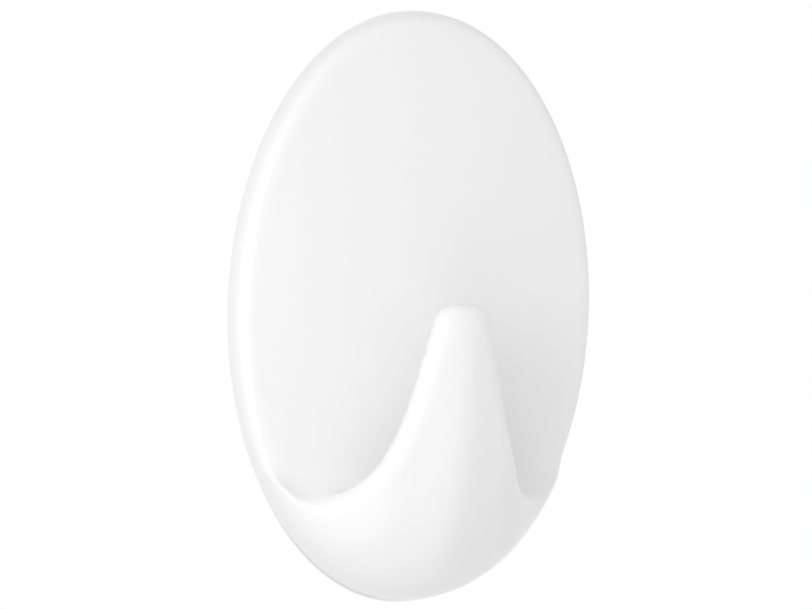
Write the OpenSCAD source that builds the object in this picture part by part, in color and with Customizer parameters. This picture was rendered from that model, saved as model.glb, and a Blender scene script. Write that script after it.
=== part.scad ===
// Adhesive wall hook: a moulded oval cover with a hook tongue, hung on a carrier plate
// that a stretch-release strip holds to the wall.
// X runs across the wall, Z up it, and the wall is the plane Y = 0 with the hook in front of it, towards -Y.
// The origin is on the wall, behind the middle of the oval.

/* [Cover] */
// Width of the oval cover
cover_w = 46; // [42:0.5:54]
// Height of the oval cover
cover_h = 70; // [64:0.5:80]
// Thickness of the flat front face
face_t = 1.6; // [1.2:0.1:2.2]
// Thickness of the skirt round the edge
skirt_t = 1.6; // [1.2:0.1:2.2]
// Rounding of the front edge
rim_round = 1.6; // [1:0.1:2]
// Gap between the wall and the back edge of the skirt
rim_gap = 0.4; // [0.2:0.1:0.8]

/* [Hook] */
// Distance from the wall to the front of the tongue
hook_out = 17.6; // [15:0.2:22]
// Fullness of the belly under the tongue, where 2 is a plain ellipse
belly_power = 2.5; // [2.2:0.1:3]
// Thickness of the tongue
tongue_t = 3.4; // [2.8:0.1:4.2]
// Width of the tongue at its tip
tip_w = 7; // [6:0.2:10]
// Corner radius of the tip
tip_round = 2.5; // [1.5:0.1:3]
// Height of the tip above the middle of the oval
tip_up = 1.3; // [0:0.1:6]
// Width of the tongue at its neck, where the straight taper starts
neck_w = 11.8; // [10:0.2:15]
// Depth of the neck below the middle of the oval
neck_down = 10.2; // [8:0.2:13]
// Distance between the low points of the two valleys beside the tongue
saddle_w = 28.2; // [25:0.2:30]
// Depth of the saddle below the middle of the oval
saddle_down = 21.4; // [20:0.2:23]
// Radius of the saddle's hollow, seen from the side
saddle_r = 3.8; // [3:0.1:4.6]
// Distance from the middle at which half of the crown's fall is reached
crown_w = 5; // [3:0.5:8]
// Share of the belly's reach by which its crowned front falls away to the sides
crown_share = 0.14; // [0:0.02:0.2]
// Radius of the dip in the belly round each valley
dip_r = 8; // [5:0.5:10]
// Share of the belly's reach that is lost in the middle of a dip
dip_share = 0.2; // [0:0.02:0.3]

/* [Hollow belly] */
// Thickness of plastic round the hollow in the belly
belly_t = 2.4; // [1.8:0.1:3]
// Depth of the hollow in front of the cover's inner face
belly_deep = 5.6; // [3:0.2:6.4]
// Thickness of the ribs across the hollow
rib_t = 1.2; // [0.8:0.1:1.6]
// Distance between the ribs
rib_gap = 9; // [6:0.5:11]

/* [Carrier plate] */
// Width of the plate over its wings
plate_w = 26; // [24:0.5:28]
// Height of the plate
plate_h = 36; // [34:0.5:38]
// Thickness of the plate
plate_t = 1.5; // [1.2:0.1:2]
// Height of the plate's top edge above the middle of the oval
plate_up = 23; // [21:0.5:24]
// Corner radius of the plate
plate_round = 3; // [1:0.5:4]
// Reach of a wing beyond the plate's body
wing_w = 3; // [2.4:0.1:3.4]
// Thickness of a wing
wing_t = 0.9; // [0.7:0.1:1.1]
// Length of a wing
wing_l = 7.5; // [6:0.5:8]
// Step from a lower wing to the one above it
wing_step = 17; // [16.5:0.5:18]
// Height of the lower wing's foot above the plate's lower edge
wing_foot = 2.5; // [1.5:0.5:3]

/* [Claws] */
// Length of a claw along its wing
claw_l = 7; // [5:0.5:7.5]
// Thickness of the claw's upright
claw_t = 1.4; // [1.2:0.1:1.8]
// Width of the stop that lands on the plate's top edge
stop_w = 14; // [10:0.5:18]
// Thickness of the stop
stop_t = 1.8; // [1.2:0.1:2.4]

/* [Adhesive strip] */
// Width of the strip
strip_w = 19; // [17:0.5:20]
// Length of the strip's adhesive stretch
strip_l = 34; // [31:0.5:35]
// Length of the bare pull tab
tab_l = 10; // [7:0.5:10.5]
// Corner radius of the pull tab
tab_round = 5; // [2:0.5:8]
// Thickness of the stretchy core
core_t = 0.76; // [0.6:0.02:0.9]
// Thickness of an adhesive skin or of a tab film
skin_t = 0.12; // [0.08:0.02:0.16]

/* [Fits] */
// Clearance between the claws and the wings
claw_fit = 0.1; // [0.05:0.05:0.2]
// Clearance between the plate's front and the cover's inner face
plate_fit = 0.1; // [0.05:0.05:0.3]
// Clearance between the plate's sides and the claws
side_fit = 0.15; // [0.1:0.05:0.4]

/* [Hidden] */
$fn = 64;

// The stack, measured out from the wall
strip_t = core_t + 2 * skin_t;
plate_front = strip_t + plate_t;
wing_back = plate_front - wing_t;
inner_out = plate_front + plate_fit;
face_out = inner_out + face_t;

// The oval, the fold line of the inner sheet and the point that the lines on the face run to
half_w = cover_w / 2;
half_h = cover_h / 2;
saddle_z = -saddle_down;
fold_z = saddle_z + saddle_r;
fold_end = fold_z - PI * saddle_r;
face_middle_share = 1 / 6;
face_middle = [0, half_h * face_middle_share];

// Places of the plate, the strip and the claws
plate_top = plate_up;
plate_foot = plate_top - plate_h;
body_w = plate_w - 2 * wing_w;
wing_feet = [plate_foot + wing_foot, plate_foot + wing_foot + wing_step];
claw_inset = (wing_l - claw_l) / 2;
strip_top = plate_foot + strip_l;
overrun = claw_t / 2;
// Share of a wing's or a claw's thickness that its lead-in takes away
lead_share = 0.5;

// How finely the skin is divided: lines on each stretch of the edge, and steps along a line
rim_lines = 22;
valley_lines = 10;
root_lines = 9;
flank_lines = 3;
corner_lines = 4;
cap_lines = 2;
wall_points = 8;
sheet_points = 20;

// Where the edge leaves the oval, and how long the handles of its two curves are
leave_angle = -22;
leave_pull_share = 0.5;
valley_pull_share = 0.26;
root_pull_share = 0.28;
neck_pull_share = 0.4;
// Spread of the lines from the foot of the belly to the tongue
fan_power = 0.9;
wall_power = 1.7;
// How much closer together the steps are in the fold
fold_gain = 2;
// Shares of the edge's rounding at which its guide points stand
shoulder_share = 1.4;
rim_low_share = 1.6;
rim_corner_share = 0.55;
rim_inner_share = 0.4;

// The cover's outer skin

// Share of the oval that is left at a distance out from the wall
function oval_share(out) = pow(1 - pow(out / hook_out, belly_power), 1 / belly_power);

// Distance from the wall to the belly's surface at a place on the front view
function belly_out(x, z) =
    let (full = hook_out * pow(max(0, 1 - pow(norm([x / half_w, z / half_h]), belly_power)), 1 / belly_power),
         away = min(1, norm([abs(x) - saddle_w / 2, z - saddle_z]) / dip_r),
         fall = crown_share * x * x / (x * x + crown_w * crown_w) + dip_share * pow(1 - away * away, 2))
    full - max(0, full - face_out) * fall;

function unit(v) = v / norm(v);
function mix(a, b, t) = a * (1 - t) + b * t;
function ease(t) = let (u = max(0, min(1, t))) u * u * (3 - 2 * u);
function bezier(p, u) =
    p[0] * pow(1 - u, 3) + p[1] * 3 * u * pow(1 - u, 2) + p[2] * 3 * u * u * (1 - u) + p[3] * pow(u, 3);

// Point at t steps along a smooth curve through a list of guide points
function guide(p, i) = i < 0 ? 2 * p[0] - p[1] : i >= len(p) ? 2 * p[len(p) - 1] - p[len(p) - 2] : p[i];
function curve_at(p, t) =
    let (i = min(floor(t), len(p) - 2), u = t - i)
    (guide(p, i - 1) * pow(1 - u, 3) + guide(p, i) * (3 * pow(u, 3) - 6 * u * u + 4)
        + guide(p, i + 1) * (-3 * pow(u, 3) + 3 * u * u + 3 * u + 1) + guide(p, i + 2) * pow(u, 3)) / 6;

// The edge in front view, on the right: down the rim, round the valley, up the tongue and over its tip
edge_size = [half_w, half_h] * oval_share(face_out);
leave = [edge_size[0] * cos(leave_angle), edge_size[1] * sin(leave_angle)];
leave_way = unit([edge_size[0] * sin(leave_angle), -edge_size[1] * cos(leave_angle)]);
valley = [saddle_w / 2, saddle_z];
neck = [neck_w / 2, -neck_down];
tip_middle = [tip_w / 2 - tip_round, tip_up - tip_round];
neck_arm = neck - tip_middle;
corner_from = atan2(neck_arm[1], neck_arm[0]) + acos(tip_round / norm(neck_arm));
corner_at = tip_middle + tip_round * [cos(corner_from), sin(corner_from)];
flank_way = unit(corner_at - neck);
across = [1, 0];
valley_reach = norm(valley - leave);
root_reach = norm(neck - valley);
valley_curve = [leave, leave + leave_way * valley_reach * leave_pull_share,
                valley + across * valley_reach * valley_pull_share, valley];
root_curve = [valley, valley - across * root_reach * root_pull_share,
              neck - flank_way * root_reach * neck_pull_share, neck];
rim_edge = [for (i = [0:rim_lines]) let (t = mix(90, leave_angle, i / rim_lines))
            [edge_size[0] * cos(t), edge_size[1] * sin(t)]];
valley_edge = [for (i = [1:valley_lines]) bezier(valley_curve, i / valley_lines)];
root_edge = [for (i = [1:root_lines]) bezier(root_curve, i / root_lines)];
flank_edge = [for (i = [1:flank_lines]) mix(neck, corner_at, i / flank_lines)];
corner_edge = [for (i = [1:corner_lines]) let (t = mix(corner_from, 90, i / corner_lines))
               tip_middle + tip_round * [cos(t), sin(t)]];
cap_edge = [for (i = [1:cap_lines]) mix([tip_middle[0], tip_up], [0, tip_up], i / cap_lines)];
edge = concat(rim_edge, valley_edge, root_edge, flank_edge, corner_edge, cap_edge);
last = len(edge) - 1;
valley_at = rim_lines + valley_lines;

// Way along a line of points, level at both ends
function way(p, i) = i == 0 ? across : i == last ? -across : unit(p[i + 1] - p[i - 1]);
function inward(p, i) = let (w = way(p, i)) [w[1], -w[0]];

// Length along the edge from where it leaves the oval, and the oval's angle at the foot of each line
run = [for (i = 0, sum = 0; i <= last;
            sum = sum + (i >= rim_lines && i < last ? norm(edge[i + 1] - edge[i]) : 0), i = i + 1) sum];
foot_angle = [for (i = [0:last]) i <= rim_lines ? mix(90, leave_angle, i / rim_lines)
              : mix(leave_angle, -90, pow(run[i] / run[last], fan_power))];

// The edge laid out flat, with the tongue unfolded below the face
function turn_at(z) = asin(max(0, min(1, 1 - (z - saddle_z) / saddle_r)));
function laid(i) =
    let (z = edge[i][1], arc = saddle_r * turn_at(z) * PI / 180)
    i <= valley_at ? (z > fold_z ? z : fold_z - arc)
    : z > fold_z ? fold_z + fold_end - z : fold_end + arc;
blank = [for (i = [0:last]) [edge[i][0], laid(i)]];

// The inner sheet folded up: flat face, half a turn round the saddle, back of the tongue
function folded(p) =
    let (x = p[0], h = p[1], turn = (fold_z - h) / saddle_r * 180 / PI, z = fold_z + fold_end - h,
         half_gap = max(0, belly_out(x, fold_z) - tongue_t - face_out) / 2)
    turn <= 0 ? [x, -face_out, h]
    : turn < 180 ? [x, -face_out - half_gap * (1 - cos(turn)), saddle_z + saddle_r * (1 - sin(turn))]
    : [x, -max(face_out, belly_out(x, z) - tongue_t), z];

// Share of the way from a start to the face's middle, with the steps close together in the fold
function in_fold(h) = max(fold_end, min(fold_z, h));
function sheet_share(start, u) =
    let (rise = face_middle[1] - start[1], reach = norm(face_middle - start),
         stops = [for (h = [start[1], in_fold(start[1]), max(fold_z, start[1]), face_middle[1]])
                  let (v = h == face_middle[1] ? 1 : (h - start[1]) / rise)
                  [v * reach + fold_gain * (in_fold(start[1] + v * rise) - in_fold(start[1])), v]])
    lookup(u * stops[3][0], stops);

// Guide points of one line: up the outer wall, over the rounded edge and along the inner sheet
function line_guides(i) =
    let (e = edge[i], n = inward(edge, i), t = foot_angle[i], oval = [half_w * cos(t), half_h * sin(t)],
         top = belly_out(e[0], e[1]), inner = folded(blank[i]),
         lip = ease((top + inner[1]) / tongue_t), r = mix(rim_round, tongue_t / 2, lip),
         foot = oval * oval_share(rim_gap), rim_low = max(rim_gap, face_out - r * rim_low_share),
         room = norm(e) * (oval_share(max(0, top - r)) / norm([e[0] / half_w, e[1] / half_h]) - 1),
         shoulder = e - n * min(r * shoulder_share * lip, max(0, room)),
         corner_out = face_out - r * rim_corner_share, rim_corner = oval * oval_share(corner_out),
         rim_in = e + n * r * rim_inner_share, start = blank[i] + inward(blank, i) * r * shoulder_share)
    concat(
        [for (j = [0:wall_points])
            let (u = j / wall_points, rim = oval * oval_share(mix(rim_gap, rim_low, u)),
                 belly = mix(foot, shoulder, pow(u, wall_power)), p = mix(rim, belly, lip))
            [p[0], -belly_out(p[0], p[1]), p[1]]],
        [mix([rim_corner[0], -corner_out, rim_corner[1]], [e[0], -top, e[1]], lip),
         mix([rim_in[0], -face_out, rim_in[1]], inner, lip)],
        [for (j = [0:sheet_points]) folded(mix(start, face_middle, sheet_share(start, j / sheet_points)))]);

// Steps at which a line is sampled: close together round the edge, wide apart on the flat face
edge_step = wall_points;
edge_span = 3;
fold_span = 14;
line_steps = concat([for (i = [0:2 * edge_step - 1]) i / 2],
                    [for (i = [0:3 * edge_span - 1]) edge_step + i / 3],
                    [for (i = [0:fold_span]) edge_step + edge_span + i]);
function skin_line(i) =
    let (g = line_guides(i)) [for (k = [len(line_steps) - 1:-1:0]) curve_at(g, line_steps[k])];

// The cover's inside: skirt, inner face and the hollow in the belly
hollow_rise_share = 0.7;
ring_share = 0.5;
inner_ring = 2 * belly_t;
hollow_lead = belly_t / 4;
inner_h = half_h * oval_share(inner_out);
hollow_down = saddle_down + belly_t;
hollow_rise = belly_deep * hollow_rise_share;
function hollow(t) = ease((-sin(t) * (inner_h - inner_ring) - hollow_down) / hollow_rise);
function inside(t, out, wall) =
    [(half_w * oval_share(out) - wall) * cos(t), -out, (half_h * oval_share(out) - wall) * sin(t)];
function inner_line(i) =
    let (t = foot_angle[i], deep = hollow(t), end = inner_out + belly_deep * deep,
         ring_t = sin(t) < 0 ? max(inner_ring, inner_h + hollow_down / sin(t)) : inner_ring,
         roof = inside(t, inner_out, ring_t), ring = inside(t, inner_out, ring_t + hollow_lead))
    [inside(t, rim_gap, skirt_t), inside(t, inner_out, skirt_t), inside(t, end, belly_t),
     [roof[0], -end, roof[2]], ring, [ring[0] * ring_share, -inner_out, ring[2] * ring_share]];

// The closed skin, from the middle of the face round the edge to the middle of the inner face
function mirrored(p) = [-p[0], p[1], p[2]];
right_lines = [for (i = [0:last]) concat(skin_line(i), inner_line(i))];
skin_lines = concat(right_lines, [for (i = [last - 1:-1:1]) [for (p = right_lines[i]) mirrored(p)]]);
line_count = len(skin_lines);
line_points = len(skin_lines[0]);
front_pole = line_count * line_points;
skin_points = concat([for (l = skin_lines) each l],
                     [[face_middle[0], -face_out, face_middle[1]], [0, -inner_out, 0]]);
function at(i, k) = (i % line_count) * line_points + k;
function apart(a, b) = norm(skin_points[a] - skin_points[b]);
function patch(a, b, c, d) = apart(a, c) < apart(b, d) ? [[a, b, c], [a, c, d]] : [[a, b, d], [b, c, d]];
skin_faces = [for (i = [0:line_count - 1]) each concat(
    [[front_pole, at(i, 0), at(i + 1, 0)]],
    [for (k = [0:line_points - 2]) each patch(at(i, k), at(i, k + 1), at(i + 1, k + 1), at(i + 1, k))],
    [[at(i, line_points - 1), front_pole + 1, at(i + 1, line_points - 1)]])];

// Pieces of the cover behind its face

// A claw that reaches behind one wing, drawn as it stands on the right, with a lead-in at its foot
module claw(foot) {
    upright = plate_w / 2 + side_fit;
    lip_front = wing_back - claw_fit;
    lip_end = body_w / 2 + side_fit;
    lead = (lip_front - rim_gap) * lead_share;
    profile = [[lip_end, -rim_gap], [upright + claw_t, -rim_gap], [upright + claw_t, -inner_out - overrun],
               [upright, -inner_out - overrun], [upright, -lip_front], [lip_end, -lip_front]];
    translate([0, 0, foot + claw_inset])
        difference() {
            linear_extrude(claw_l)
                polygon(profile);
            translate([lip_end - overrun, 0, 0])
                rotate([90, 0, 90])
                    linear_extrude(upright - lip_end + overrun)
                        polygon([[-lip_front - overrun, lead + overrun], [-lip_front - overrun, -overrun],
                                 [-lip_front + lead + overrun, -overrun]]);
        }
}

// The bar that lands on the plate's top edge and carries the load
module stop_bar() {
    translate([-stop_w / 2, -inner_out - overrun, plate_top])
        cube([stop_w, inner_out + overrun - strip_t, stop_t]);
}

// One rib across the hollow of the belly
module belly_rib() {
    back = inner_out + rib_t / 2;
    end = inner_out + belly_deep + belly_t / 2;
    lean = sqrt(1 - pow(rib_gap / cover_w, 2));
    function floor_at(out) = -(half_h * oval_share(out) - belly_t / 2) * lean;
    roof = saddle_z - belly_t / 2;
    translate([-rib_t / 2, 0, 0])
        rotate([90, 0, 90])
            linear_extrude(rib_t)
                polygon([[-back, floor_at(back)], [-back, roof], [-end, roof], [-end, floor_at(end)]]);
}

module hook_shell() {
    color("white") {
        polyhedron(skin_points, skin_faces, convexity = 6);
        for (side = [0, 1], foot = wing_feet)
            mirror([side, 0, 0])
                claw(foot);
        stop_bar();
        for (side = [-1, 1])
            translate([side * rib_gap / 2, 0, 0])
                belly_rib();
    }
}

// The carrier plate and the strip

// A plate of even thickness standing in front of the wall, with its corners rounded
module standing_plate(w, foot, top, back, thick, round) {
    translate([0, -back, foot])
        rotate([90, 0, 0])
            linear_extrude(thick)
                union() {
                    translate([-w / 2, round])
                        square([w, top - foot - 2 * round]);
                    translate([-w / 2 + round, 0])
                        square([w - 2 * round, top - foot]);
                    for (side = [-1, 1], z = [round, top - foot - round])
                        translate([side * (w / 2 - round), z])
                            circle(round);
                }
}

// A wing on each side of the plate, with a lead-in behind the upper edge
module wing_pair(foot) {
    lead = wing_t * lead_share;
    translate([-plate_w / 2, 0, foot])
        rotate([90, 0, 90])
            linear_extrude(plate_w)
                polygon([[-plate_front, 0], [-wing_back, 0], [-wing_back, wing_l - lead],
                         [-wing_back - lead, wing_l], [-plate_front, wing_l]]);
}

module base_plate() {
    color("gainsboro") {
        standing_plate(body_w, plate_foot, plate_top, strip_t, plate_t, plate_round);
        for (foot = wing_feet)
            wing_pair(foot);
    }
}

// A strip layer: square at the top, with the tab's rounded end at the foot
module tab_layer(foot, top, back, thick) {
    translate([0, -back, foot])
        rotate([90, 0, 0])
            linear_extrude(thick)
                union() {
                    translate([-strip_w / 2, tab_round])
                        square([strip_w, top - foot - tab_round]);
                    translate([-strip_w / 2 + tab_round, 0])
                        square([strip_w - 2 * tab_round, tab_round]);
                    for (side = [-1, 1])
                        translate([side * (strip_w / 2 - tab_round), tab_round])
                            circle(tab_round);
                }
}

module adhesive_skin(back) {
    translate([-strip_w / 2, -back - skin_t, plate_foot])
        cube([strip_w, skin_t, strip_l]);
}

module strip_core() {
    color("whitesmoke") tab_layer(plate_foot - tab_l, strip_top, skin_t, core_t);
}

module strip_wall_adhesive() {
    color("ivory") adhesive_skin(0);
}

module strip_plate_adhesive() {
    color("ivory") adhesive_skin(skin_t + core_t);
}

module tab_film_front() {
    color("lightsteelblue") tab_layer(plate_foot - tab_l, plate_foot, skin_t + core_t, skin_t);
}

module tab_film_rear() {
    color("lightsteelblue") tab_layer(plate_foot - tab_l, plate_foot, 0, skin_t);
}

hook_shell();
base_plate();
strip_core();
strip_wall_adhesive();
strip_plate_adhesive();
tab_film_front();
tab_film_rear();
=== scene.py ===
import math

import bmesh
import bpy
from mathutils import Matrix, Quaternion, Vector


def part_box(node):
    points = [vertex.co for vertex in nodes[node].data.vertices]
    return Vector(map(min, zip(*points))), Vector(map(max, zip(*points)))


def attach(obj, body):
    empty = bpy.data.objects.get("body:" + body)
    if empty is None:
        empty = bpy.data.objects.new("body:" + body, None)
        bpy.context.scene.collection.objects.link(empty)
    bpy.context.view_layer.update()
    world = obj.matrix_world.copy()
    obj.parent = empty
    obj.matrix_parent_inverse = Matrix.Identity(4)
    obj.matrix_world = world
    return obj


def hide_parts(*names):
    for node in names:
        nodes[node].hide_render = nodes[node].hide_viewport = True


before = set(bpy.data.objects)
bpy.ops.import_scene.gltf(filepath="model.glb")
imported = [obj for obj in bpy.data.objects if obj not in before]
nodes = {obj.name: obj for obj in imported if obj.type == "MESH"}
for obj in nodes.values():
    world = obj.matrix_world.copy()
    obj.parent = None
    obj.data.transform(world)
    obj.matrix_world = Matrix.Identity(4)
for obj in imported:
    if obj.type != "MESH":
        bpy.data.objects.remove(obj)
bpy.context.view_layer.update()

# Strip core, next to the wall: a stretchy white foam band, cut square at the top and round at its tab.
# Pulling the tab down stretches the foam, which frees the strip from the wall.


def shader_of(name):
    """A new node material, with its node tree and its main shader."""
    material = bpy.data.materials.new(name)
    material.use_nodes = True
    return material, material.node_tree, material.node_tree.nodes["Principled BSDF"]


def noise_of(tree, place, grain, detail):
    """A noise pattern fixed in the object, whose grains are about the given size across."""
    noise = tree.nodes.new("ShaderNodeTexNoise")
    noise.inputs["Scale"].default_value = 1 / grain
    noise.inputs["Detail"].default_value = detail
    tree.links.new(place.outputs["Object"], noise.inputs["Vector"])
    return noise


def tint(tree, shader, pattern, dark, pale):
    """Lead a pattern into the colour, from a dark tint to a pale one."""
    ramp = tree.nodes.new("ShaderNodeValToRGB")
    ramp.color_ramp.elements[0].color = (*dark, 1)
    ramp.color_ramp.elements[1].color = (*pale, 1)
    tree.links.new(pattern.outputs[0], ramp.inputs["Fac"])
    tree.links.new(ramp.outputs["Color"], shader.inputs["Base Color"])


def polish(tree, shader, pattern, smooth, rough):
    """Lead a pattern into the roughness, from its smoothest value to its roughest."""
    reach = tree.nodes.new("ShaderNodeMapRange")
    reach.inputs["To Min"].default_value = smooth
    reach.inputs["To Max"].default_value = rough
    tree.links.new(pattern.outputs[0], reach.inputs["Value"])
    tree.links.new(reach.outputs["Result"], shader.inputs["Roughness"])


def relief(tree, shader, pattern, depth, strength):
    """Raise a pattern on the surface, with its depth in metres."""
    bump = tree.nodes.new("ShaderNodeBump")
    bump.inputs["Distance"].default_value = depth
    bump.inputs["Strength"].default_value = strength
    tree.links.new(pattern.outputs[0], bump.inputs["Height"])
    tree.links.new(bump.outputs["Normal"], shader.inputs["Normal"])


def dress(node, material):
    """Give a solid of the frame its finish."""
    nodes[node].data.materials.clear()
    nodes[node].data.materials.append(material)


foam_cell = 0.00025
foam_cell_deep = 0.00006
foam_patch = 0.004
foam_shade = (0.80, 0.80, 0.78)
foam_white = (0.86, 0.86, 0.84)
foam, tree, shader = shader_of("strip_foam")
place = tree.nodes.new("ShaderNodeTexCoord")
tint(tree, shader, noise_of(tree, place, foam_patch, detail=3), foam_shade, foam_white)
cells = tree.nodes.new("ShaderNodeTexVoronoi")
cells.inputs["Scale"].default_value = 1 / foam_cell
tree.links.new(place.outputs["Object"], cells.inputs["Vector"])
polish(tree, shader, cells, smooth=0.75, rough=0.9)
relief(tree, shader, cells, foam_cell_deep, strength=0.6)
dress("strip_core", foam)

# Adhesive skins: a tacky, slightly milky coat on each side of the core, which ends above the bare tab.
# The rear one holds to the wall and the front one to the carrier plate.

tack_patch = 0.006
tack_ripple = 0.0012
tack_ripple_deep = 0.00004
tack_shade = (0.77, 0.76, 0.71)
tack_milky = (0.83, 0.82, 0.78)
tack, tree, shader = shader_of("strip_adhesive")
place = tree.nodes.new("ShaderNodeTexCoord")
tint(tree, shader, noise_of(tree, place, tack_patch, detail=4), tack_shade, tack_milky)
ripple = noise_of(tree, place, tack_ripple, detail=2)
polish(tree, shader, ripple, smooth=0.28, rough=0.42)
relief(tree, shader, ripple, tack_ripple_deep, strength=0.5)
for coat in ("strip_wall_adhesive", "strip_plate_adhesive"):
    dress(coat, tack)

# Tab films: smooth white film laid on the front and rear of the strip's tab, where it has no adhesive.
# They keep the tab from sticking, so that it can be taken hold of below the plate.

film_crease = 0.005
film_grain = 0.0009
film_grain_deep = 0.00003
film_shade = (0.84, 0.84, 0.84)
film_white = (0.88, 0.88, 0.88)
film, tree, shader = shader_of("tab_film")
place = tree.nodes.new("ShaderNodeTexCoord")
crease = noise_of(tree, place, film_crease, detail=3)
tint(tree, shader, crease, film_shade, film_white)
polish(tree, shader, crease, smooth=0.3, rough=0.45)
relief(tree, shader, noise_of(tree, place, film_grain, detail=2), film_grain_deep, strength=0.4)
for tab_film in ("tab_film_front", "tab_film_rear"):
    dress(tab_film, film)

# Carrier plate: a flat moulding in satin white plastic, stuck to the front of the strip.
# Four wings stand off its sides for the cover's claws to reach behind.

plate_edge = 0.0002
plate_patch = 0.007
plate_spark = 0.00018
plate_spark_deep = 0.00002
plate_shade = (0.77, 0.77, 0.76)
plate_white = (0.81, 0.81, 0.80)
satin, tree, shader = shader_of("plate_plastic")
place = tree.nodes.new("ShaderNodeTexCoord")
tint(tree, shader, noise_of(tree, place, plate_patch, detail=3), plate_shade, plate_white)
spark = noise_of(tree, place, plate_spark, detail=3)
polish(tree, shader, spark, smooth=0.42, rough=0.56)
relief(tree, shader, spark, plate_spark_deep, strength=0.5)
dress("base_plate", satin)
softened = nodes["base_plate"].modifiers.new("softened_edges", "BEVEL")
softened.width = plate_edge
softened.segments = 2
softened.limit_method = "ANGLE"

# Cover: one glossy white moulding, an oval face whose lower wall sweeps forward and up into the tongue.
# Its rim runs through the valleys into the tongue's edges. It hangs on the plate by four claws and a stop.

cover_w = 0.046
cover_h = 0.070
face_t = 0.0016
skirt_t = 0.0016
rim_round = 0.0016
rim_gap = 0.0004
hook_out = 0.0176
belly_power = 2.5
tongue_t = 0.0034
tip_w = 0.0070
tip_round = 0.0025
tip_up = 0.0013
neck_w = 0.0118
neck_down = 0.0102
saddle_w = 0.0282
saddle_down = 0.0214
saddle_r = 0.0038
crown_w = 0.005
crown_share = 0.14
dip_r = 0.008
dip_share = 0.2
valley_round = 0.0034
valley_drop = 0.0016
valley_soft = 0.010
belly_t = 0.0024
belly_deep = 0.0056
plate_fit = 0.0001
face_middle_share = 1 / 6

half_w = cover_w / 2
half_h = cover_h / 2
plate_low, plate_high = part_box("base_plate")
inner_out = plate_fit - plate_low.y
face_out = inner_out + face_t
saddle_z = -saddle_down
fold_z = saddle_z + saddle_r
fold_end = fold_z - math.pi * saddle_r
face_middle = Vector((0, half_h * face_middle_share))
across = Vector((1, 0))


def mix(a, b, t):
    """What lies a share t of the way from a to b."""
    return a * (1 - t) + b * t


def ease(t):
    """A share that starts and ends gently, held between 0 and 1."""
    u = max(0, min(1, t))
    return u * u * (3 - 2 * u)


def oval_share(out):
    """Share of the oval that is left at a distance out from the wall."""
    return (1 - (out / hook_out) ** belly_power) ** (1 / belly_power)


def belly_out(p):
    """Distance from the wall to the belly's surface at a place on the front view."""
    left = 1 - math.hypot(p.x / half_w, p.y / half_h) ** belly_power
    full = hook_out * max(0, left) ** (1 / belly_power)
    away = min(1, math.hypot(abs(p.x) - saddle_w / 2, p.y - saddle_z) / dip_r)
    fall = crown_share * p.x ** 2 / (p.x ** 2 + crown_w ** 2) + dip_share * (1 - away * away) ** 2
    return full - max(0, full - face_out) * fall


def on_oval(size, turn):
    """Place on an oval of the given half sizes, a turn round from its right end."""
    return Vector((size.x * math.cos(turn), size.y * math.sin(turn)))


def standing(p, out):
    """A place on the front view, stood at a distance out from the wall."""
    return Vector((p.x, -out, p.y))


def bezier(p, u):
    """Place a share u of the way along a curve with two ends and two pulls."""
    v = 1 - u
    return p[0] * v ** 3 + p[1] * (3 * u * v * v) + p[2] * (3 * u * u * v) + p[3] * u ** 3


# The edge in front view: down the rim, round the valley, up the tongue and over its tip
rim_lines, valley_lines, root_lines, flank_lines, corner_lines, cap_lines = 44, 20, 18, 6, 8, 4
leave_turn = math.radians(-22)
top_turn = math.radians(90)
oval = Vector((half_w, half_h))
edge_size = oval * oval_share(face_out)
leave = on_oval(edge_size, leave_turn)
leave_way = Vector((edge_size.x * math.sin(leave_turn), -edge_size.y * math.cos(leave_turn))).normalized()
valley = Vector((saddle_w / 2, saddle_z))
neck = Vector((neck_w / 2, -neck_down))
tip_middle = Vector((tip_w / 2 - tip_round, tip_up - tip_round))
tip_size = Vector((tip_round, tip_round))
neck_arm = neck - tip_middle
corner_turn = math.atan2(neck_arm.y, neck_arm.x) + math.acos(tip_round / neck_arm.length)
corner_at = tip_middle + on_oval(tip_size, corner_turn)
flank_way = (corner_at - neck).normalized()
valley_reach = (valley - leave).length
root_reach = (neck - valley).length
leave_pull, valley_pull, root_pull, neck_pull = 0.5, 0.26, 0.28, 0.4
valley_curve = (leave, leave + leave_way * valley_reach * leave_pull,
                valley + across * valley_reach * valley_pull, valley)
root_curve = (valley, valley - across * root_reach * root_pull,
              neck - flank_way * root_reach * neck_pull, neck)
edge = [on_oval(edge_size, mix(top_turn, leave_turn, i / rim_lines)) for i in range(rim_lines + 1)]
edge += [bezier(valley_curve, i / valley_lines) for i in range(1, valley_lines + 1)]
edge += [bezier(root_curve, i / root_lines) for i in range(1, root_lines + 1)]
edge += [mix(neck, corner_at, i / flank_lines) for i in range(1, flank_lines + 1)]
edge += [tip_middle + on_oval(tip_size, mix(corner_turn, top_turn, i / corner_lines))
         for i in range(1, corner_lines + 1)]
edge += [Vector((tip_middle.x * (1 - i / cap_lines), tip_up)) for i in range(1, cap_lines + 1)]
last = len(edge) - 1
valley_at = rim_lines + valley_lines

# Where each line stands on the oval at the wall: evenly round the rim, then spread over the belly
foot_power = 0.9
run = [0.0]
for i in range(last):
    run.append(run[i] + ((edge[i + 1] - edge[i]).length if i >= rim_lines else 0))
foot_turn = [mix(top_turn, leave_turn, i / rim_lines) if i <= rim_lines
             else mix(leave_turn, -top_turn, (run[i] / run[last]) ** foot_power) for i in range(last + 1)]


def laid(i):
    """Height of an edge point once the tongue is unfolded flat below the face."""
    z = edge[i].y
    arc = saddle_r * math.asin(max(0, min(1, 1 - (z - saddle_z) / saddle_r)))
    if i <= valley_at:
        return z if z > fold_z else fold_z - arc
    return fold_z + fold_end - z if z > fold_z else fold_end + arc


blank = [Vector((edge[i].x, laid(i))) for i in range(last + 1)]


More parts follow.
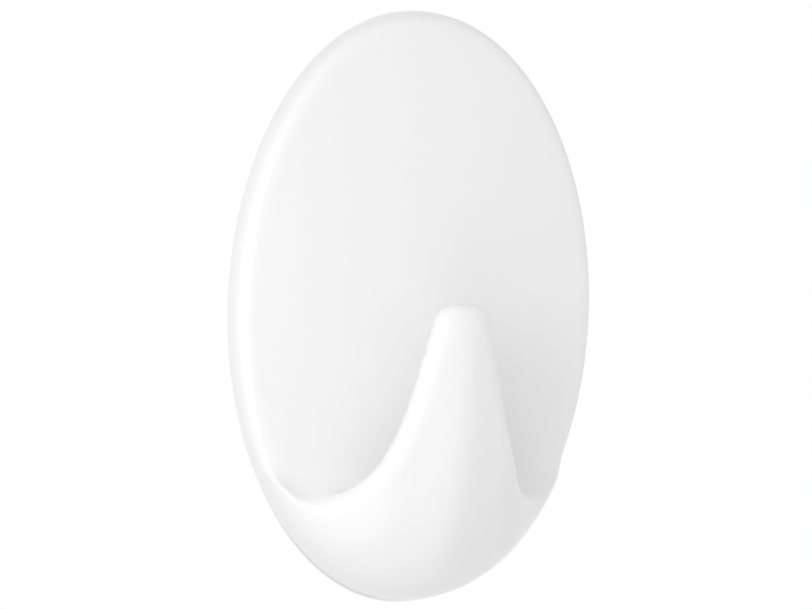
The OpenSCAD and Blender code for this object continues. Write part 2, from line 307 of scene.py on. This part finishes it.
def inward(points, i):
    """Direction square to a line of points, towards the sheet."""
    way = across if i == 0 else -across if i == last else (points[i + 1] - points[i - 1]).normalized()
    return Vector((way.y, -way.x))


def folded(p):
    """The flat sheet folded up: face, half a turn round the saddle, back of the tongue."""
    turn = (fold_z - p.y) / saddle_r
    if turn <= 0:
        return standing(p, face_out)
    if turn < math.pi:
        half_gap = max(0, belly_out(Vector((p.x, fold_z))) - tongue_t - face_out) / 2
        rise = saddle_z + saddle_r * (1 - math.sin(turn))
        return standing(Vector((p.x, rise)), face_out + half_gap * (1 - math.cos(turn)))
    up = Vector((p.x, fold_z + fold_end - p.y))
    return standing(up, max(face_out, belly_out(up) - tongue_t))


def in_fold(h):
    """A height on the flat sheet, held within the fold."""
    return max(fold_end, min(fold_z, h))


fold_weight = 2


def sheet_share(start, u):
    """Share of the way to the face's middle, with the steps close together in the fold."""
    rise = face_middle.y - start.y
    reach = (face_middle - start).length
    stops = [0, 1]
    if start.y < fold_z:
        stops[1:1] = [(in_fold(start.y) - start.y) / rise, (fold_z - start.y) / rise]
    ways = [v * reach + fold_weight * (in_fold(start.y + v * rise) - in_fold(start.y)) for v in stops]
    want = u * ways[-1]
    for a, b, from_v, to_v in zip(ways, ways[1:], stops, stops[1:]):
        if want <= b and b > a:
            return mix(from_v, to_v, (want - a) / (b - a))
    return 1


wall_points = 8
sheet_points = 20
wall_power = 1.7
shoulder_share, rim_low_share, rim_corner_share, rim_inner_share = 1.4, 1.6, 0.55, 0.4


def line_guides(i):
    """Guide points of one line: up the outer wall, over the rounded edge and along the inner sheet."""
    e, n, foot_oval = edge[i], inward(edge, i), on_oval(oval, foot_turn[i])
    top, inner = belly_out(e), folded(blank[i])
    lip = ease((top + inner.y) / tongue_t)
    r = mix(rim_round, tongue_t / 2, lip)
    soft = ease(1 - (e - valley).length / valley_soft)
    foot = foot_oval * oval_share(rim_gap)
    room = e.length * (oval_share(max(0, top - r)) / math.hypot(e.x / half_w, e.y / half_h) - 1)
    way_down = mix(-n, (foot_oval - e).normalized(), soft).normalized()
    drop = min(valley_drop * soft, max(0, room) / 2)
    brow = e + way_down * drop
    shoulder = e + way_down * min(drop + r * shoulder_share * lip, max(0, room))
    start = blank[i] + inward(blank, i) * (mix(r, valley_round, soft) * shoulder_share)
    rim_low = max(rim_gap, face_out - r * rim_low_share)
    corner_out = face_out - r * rim_corner_share
    guides = []
    for j in range(wall_points + 1):
        u = j / wall_points
        rim = foot_oval * oval_share(mix(rim_gap, rim_low, u))
        p = mix(rim, mix(foot, shoulder, u ** wall_power), lip)
        guides.append(standing(p, belly_out(p)))
    rim_corner = standing(foot_oval * oval_share(corner_out), corner_out)
    guides.append(mix(rim_corner, standing(brow, belly_out(brow)), lip))
    guides.append(mix(standing(e + n * (r * rim_inner_share), face_out), inner, lip))
    for j in range(sheet_points + 1):
        share = sheet_share(start, j / sheet_points)
        guides.append(folded(mix(start, face_middle, share)))
    return guides


def curve_at(guides, t):
    """Point at t steps along a smooth curve led by guide points."""
    i = min(int(t), len(guides) - 2)
    u = t - i
    before = guides[i - 1] if i else 2 * guides[0] - guides[1]
    after = guides[i + 2] if i + 2 < len(guides) else 2 * guides[-1] - guides[-2]
    return (before * (1 - u) ** 3 + guides[i] * (3 * u ** 3 - 6 * u * u + 4)
            + guides[i + 1] * (-3 * u ** 3 + 3 * u * u + 3 * u + 1) + after * u ** 3) / 6


# How finely each stretch of a line is stepped, with the rounded edge finest
edge_span, fold_span = 3, 14
wall_fine, edge_fine, fold_fine = 2, 4, 2
steps = [i / wall_fine for i in range(wall_fine * wall_points)]
steps += [wall_points + i / edge_fine for i in range(edge_fine * edge_span)]
steps += [wall_points + edge_span + i / fold_fine for i in range(fold_fine * fold_span + 1)]

# The cover's inside: skirt, inner face and the hollow in the belly, with their corners eased
corner_r = 0.00025
corner_share = 0.29
hollow_rise_share = 0.7
inner_h = half_h * oval_share(inner_out)
inner_ring = 2 * belly_t
hollow_lead = belly_t / 4
hollow_down = saddle_down + belly_t
hollow_rise = belly_deep * hollow_rise_share
off_wall = Vector((0, -1, 0))


def inside(turn, out, wall):
    """Place on the cover's inside, a wall's thickness within the oval."""
    size = oval * oval_share(out) - Vector((wall, wall))
    return standing(on_oval(size, turn), out)


def rounded(before, corner, after):
    """Three points that ease a corner."""
    a = (before - corner).normalized() * corner_r
    b = (after - corner).normalized() * corner_r
    return [corner + a, corner + (a + b) * corner_share, corner + b]


def inner_line(i, foot):
    """The rest of a line, from the wall's foot round the back edge to the inner face."""
    t = foot_turn[i]
    below = -math.sin(t) * (inner_h - inner_ring) - hollow_down
    end = inner_out + belly_deep * ease(below / hollow_rise)
    ring_t = max(inner_ring, inner_h + hollow_down / math.sin(t)) if math.sin(t) < 0 else inner_ring
    roof = inside(t, inner_out, ring_t)
    ring = inside(t, inner_out, ring_t + hollow_lead)
    middle = Vector((ring.x / 2, ring.y, ring.z / 2))
    path = [foot + off_wall, foot, inside(t, rim_gap, skirt_t), inside(t, inner_out, skirt_t),
            inside(t, end, belly_t), Vector((roof.x, -end, roof.z)), ring, middle]
    points = []
    for k in range(1, len(path) - 1):
        points += rounded(*path[k - 1:k + 2])
    return points + [middle]


right_lines = []
for i in range(last + 1):
    guides = line_guides(i)
    outer = [curve_at(guides, t) for t in reversed(steps)]
    right_lines.append(outer[:-1] + inner_line(i, outer[-1]))
lines = right_lines + [[Vector((-p.x, p.y, p.z)) for p in line] for line in right_lines[-2:0:-1]]

skin = bmesh.new()
rows = [[skin.verts.new(p) for p in line] for line in lines]
front_pole = skin.verts.new(standing(face_middle, face_out))
inner_pole = skin.verts.new((0, -inner_out, 0))
for row, beside in zip(rows, rows[1:] + rows[:1]):
    skin.faces.new((front_pole, beside[0], row[0]))
    for k in range(len(row) - 1):
        skin.faces.new((row[k], beside[k], beside[k + 1], row[k + 1]))
    skin.faces.new((row[-1], beside[-1], inner_pole))
cover_mesh = bpy.data.meshes.new("hook_cover")
skin.to_mesh(cover_mesh)
skin.free()
cover = bpy.data.objects.new("hook_cover", cover_mesh)
bpy.context.scene.collection.objects.link(cover)

# Behind the face: four claws, the stop that lands on the plate's top edge, and two ribs in the hollow
wing_w = 0.003
wing_t = 0.0009
wing_l = 0.0075
wing_feet = (0.0025, 0.0195)
claw_l = 0.007
claw_t = 0.0014
claw_fit = 0.0001
side_fit = 0.00015
stop_w = 0.014
stop_t = 0.0018
rib_t = 0.0012
rib_gap = 0.009
sunk = claw_t / 2
lead_share = 0.5
moulded_edge = 0.00012
sharp_angle = math.radians(40)


def lofted(sections):
    """A closed solid through sections of equally many points, with its edges eased."""
    solid = bmesh.new()
    rings = [[solid.verts.new(p) for p in section] for section in sections]
    for ring, after in zip(rings, rings[1:]):
        for k in range(len(ring)):
            solid.faces.new((ring[k - 1], ring[k], after[k], after[k - 1]))
    solid.faces.new(rings[0])
    solid.faces.new(rings[-1])
    bmesh.ops.recalc_face_normals(solid, faces=solid.faces)
    bmesh.ops.bevel(solid, geom=solid.edges[:], offset=moulded_edge, segments=2, profile=0.5,
                    affect="EDGES")
    mesh = bpy.data.meshes.new("moulded_on")
    solid.to_mesh(mesh)
    solid.free()
    return mesh


def claw_section(side, z, lip_out):
    """A claw cut level: its upright beside the wing, and its lip behind the wing."""
    upright = plate_high.x + side_fit
    lip_end = plate_high.x - wing_w + side_fit
    corners = ((lip_end, rim_gap), (upright + claw_t, rim_gap), (upright + claw_t, inner_out + sunk),
               (upright, inner_out + sunk), (upright, lip_out), (lip_end, lip_out))
    return [Vector((side * x, -out, z)) for x, out in corners]


def rib_section(x):
    """A rib's side: from the hollow's roof to its floor, a little sunk in its walls."""
    back, end = inner_out + rib_t / 2, inner_out + belly_deep + belly_t / 2
    lean = math.sqrt(1 - (rib_gap / cover_w) ** 2)
    roof = saddle_z - belly_t / 2
    floors = [-(half_h * oval_share(out) - belly_t / 2) * lean for out in (back, end)]
    return [Vector((x, -back, floors[0])), Vector((x, -back, roof)),
            Vector((x, -end, roof)), Vector((x, -end, floors[1]))]


lip_out = -plate_low.y - wing_t - claw_fit
lead = (lip_out - rim_gap) * lead_share
moulded_on = []
for side in (-1, 1):
    for wing_foot in wing_feet:
        foot = plate_low.z + wing_foot + (wing_l - claw_l) / 2
        foot_cut = claw_section(side, foot, lip_out - lead)
        lead_cut = claw_section(side, foot + lead, lip_out)
        top_cut = claw_section(side, foot + claw_l, lip_out)
        moulded_on.append(lofted([foot_cut, lead_cut, top_cut]))
    rib_middle = side * rib_gap / 2
    moulded_on.append(lofted([rib_section(rib_middle - rib_t / 2), rib_section(rib_middle + rib_t / 2)]))
stop_corners = ((-stop_w / 2, inner_out + sunk), (stop_w / 2, inner_out + sunk),
                (stop_w / 2, -plate_high.y), (-stop_w / 2, -plate_high.y))
moulded_on.append(lofted([[Vector((x, -out, z)) for x, out in stop_corners]
                          for z in (plate_high.z, plate_high.z + stop_t)]))
for mesh in moulded_on:
    body = bpy.data.objects.new("moulded_on", mesh)
    bpy.context.scene.collection.objects.link(body)
    join = cover.modifiers.new("join", "BOOLEAN")
    join.operation = "UNION"
    join.solver = "MANIFOLD"
    join.object = body
joined = bpy.data.meshes.new_from_object(cover.evaluated_get(bpy.context.evaluated_depsgraph_get()))
cover.modifiers.clear()
cover.data = cover_mesh = joined
for mesh in moulded_on:
    bpy.data.meshes.remove(mesh)
for polygon in cover_mesh.polygons:
    polygon.use_smooth = True
cover_mesh.set_sharp_from_angle(angle=sharp_angle)

# The cover's finish: glossy white, with the faintest unevenness where the melt flowed
gloss_patch = 0.012
gloss_flow = 0.003
gloss_flow_deep = 0.00001
gloss_shade = (0.875, 0.875, 0.875)
gloss_white = (0.885, 0.885, 0.885)
gloss, tree, shader = shader_of("cover_plastic")
place = tree.nodes.new("ShaderNodeTexCoord")
tint(tree, shader, noise_of(tree, place, gloss_patch, detail=3), gloss_shade, gloss_white)
flow = noise_of(tree, place, gloss_flow, detail=3)
polish(tree, shader, flow, smooth=0.18, rough=0.24)
relief(tree, shader, flow, gloss_flow_deep, strength=0.25)
cover_mesh.materials.clear()
cover_mesh.materials.append(gloss)
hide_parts("hook_shell")
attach(cover, "cover")

# Stage: a round pale floor well below the hook, which fades to white at its edge, and a white surround.
# Soft panels light the hook from its left and from behind, and weaker ones from the other sides.


def seen_rays(tree):
    """1 for rays that show a backdrop, straight or by gloss or glass, and 0 for rays that only light."""
    path = tree.nodes.new("ShaderNodeLightPath")
    seen = path.outputs["Is Camera Ray"]
    for ray in ("Is Glossy Ray", "Is Transmission Ray"):
        either = tree.nodes.new("ShaderNodeMath")
        either.operation = "MAXIMUM"
        tree.links.new(seen, either.inputs[0])
        tree.links.new(path.outputs[ray], either.inputs[1])
        seen = either.outputs[0]
    return seen


floor_down = 0.12
floor_r = 0.3
floor_sides = 96
floor_grey = (0.85, 0.85, 0.85, 1)
floor_rough = 0.9
floor_middle_white = 0.45
floor_mesh = bpy.data.meshes.new("floor")
disc = bmesh.new()
bmesh.ops.create_circle(disc, cap_ends=True, segments=floor_sides, radius=floor_r)
disc.to_mesh(floor_mesh)
disc.free()
floor = bpy.data.objects.new("floor", floor_mesh)
floor.location.z = -floor_down
bpy.context.scene.collection.objects.link(floor)
pale, tree, shader = shader_of("pale_floor")
shader.inputs["Base Color"].default_value = floor_grey
shader.inputs["Roughness"].default_value = floor_rough
place = tree.nodes.new("ShaderNodeTexCoord")
from_middle = tree.nodes.new("ShaderNodeVectorMath")
from_middle.operation = "LENGTH"
tree.links.new(place.outputs["Object"], from_middle.inputs[0])
fade = tree.nodes.new("ShaderNodeMapRange")
fade.interpolation_type = "SMOOTHSTEP"
fade.inputs["From Max"].default_value = floor_r
fade.inputs["To Min"].default_value = floor_middle_white
tree.links.new(from_middle.outputs["Value"], fade.inputs["Value"])
shown = tree.nodes.new("ShaderNodeMath")
shown.operation = "MULTIPLY"
tree.links.new(fade.outputs["Result"], shown.inputs[0])
tree.links.new(seen_rays(tree), shown.inputs[1])
white = tree.nodes.new("ShaderNodeEmission")
laid_over = tree.nodes.new("ShaderNodeMixShader")
tree.links.new(shown.outputs[0], laid_over.inputs[0])
tree.links.new(shader.outputs[0], laid_over.inputs[1])
tree.links.new(white.outputs[0], laid_over.inputs[2])
tree.links.new(laid_over.outputs[0], tree.nodes["Material Output"].inputs["Surface"])
floor_mesh.materials.append(pale)

white_light = (1, 1, 1, 1)
lit_strength = 0.625
surround = bpy.data.worlds.new("white_surround")
surround.use_nodes = True
bpy.context.scene.world = surround
tree = surround.node_tree
white = tree.nodes["Background"]
white.inputs["Color"].default_value = white_light
lit = tree.nodes.new("ShaderNodeBackground")
lit.inputs["Color"].default_value = white_light
lit.inputs["Strength"].default_value = lit_strength
blend = tree.nodes.new("ShaderNodeMixShader")
tree.links.new(seen_rays(tree), blend.inputs[0])
tree.links.new(lit.outputs[0], blend.inputs[1])
tree.links.new(white.outputs[0], blend.inputs[2])
tree.links.new(blend.outputs[0], tree.nodes["World Output"].inputs["Surface"])


def seen_from(azimuth, elevation):
    """Direction from the object to a place round it, with azimuth 0 straight in front."""
    a, e = math.radians(azimuth), math.radians(elevation)
    return Vector((math.sin(a) * math.cos(e), -math.cos(a) * math.cos(e), math.sin(e)))


def soft_light(name, at, away, size, power, mirrored=False):
    """A soft panel that faces the hook from an azimuth and elevation, and shows in its gloss if mirrored."""
    lamp = bpy.data.lights.new(name, "AREA")
    lamp.shape = "RECTANGLE"
    lamp.size, lamp.size_y = size
    lamp.energy = power
    holder = bpy.data.objects.new(name, lamp)
    holder.location = seen_from(*at) * away
    holder.rotation_mode = "QUATERNION"
    holder.rotation_quaternion = (-holder.location).to_track_quat("-Z", "Y")
    holder.visible_camera = False
    holder.visible_glossy = mirrored
    bpy.context.scene.collection.objects.link(holder)


near, far = 0.16, 0.50
fill_size = (0.12, 0.10)
soft_light("left_panel", at=(-57, 10), away=near, size=(0.07, 0.08), power=0.058)
soft_light("left_glint", at=(-62, 10), away=near, size=(0.05, 0.06), power=0.003, mirrored=True)
soft_light("front_fill", at=(-40, 8), away=near, size=(0.10, 0.10), power=0.018)
soft_light("low_fill", at=(-40, -32), away=near, size=fill_size, power=0.034)
soft_light("right_fill", at=(75, 0), away=near, size=fill_size, power=0.038)
soft_light("top_fill", at=(-30, 50), away=far, size=(0.25, 0.25), power=0.320)
soft_light("rear_fill", at=(155, 15), away=near, size=fill_size, power=0.080)

# Camera: a long lens at the photograph's viewing angle, a little above the hook and to its left.
# It leans slightly, as the photograph does.

view_azimuth, view_elevation, view_lean = -25, 3, 1.3
view_distance = 0.45
view_lens, view_sensor = 168.5, 36
aim = Vector((0, 0, 0.0003))
camera_data = bpy.data.cameras.new("camera")
camera_data.lens = view_lens
camera_data.sensor_width = view_sensor
camera = bpy.data.objects.new("camera", camera_data)
towards = seen_from(view_azimuth, view_elevation)
camera.location = aim + towards * view_distance
camera.rotation_mode = "QUATERNION"
lean = Quaternion((0, 0, 1), math.radians(view_lean))
camera.rotation_quaternion = (-towards).to_track_quat("-Z", "Y") @ lean
bpy.context.scene.collection.objects.link(camera)
bpy.context.scene.camera = camera
bpy.context.scene.view_settings.view_transform = "Standard"
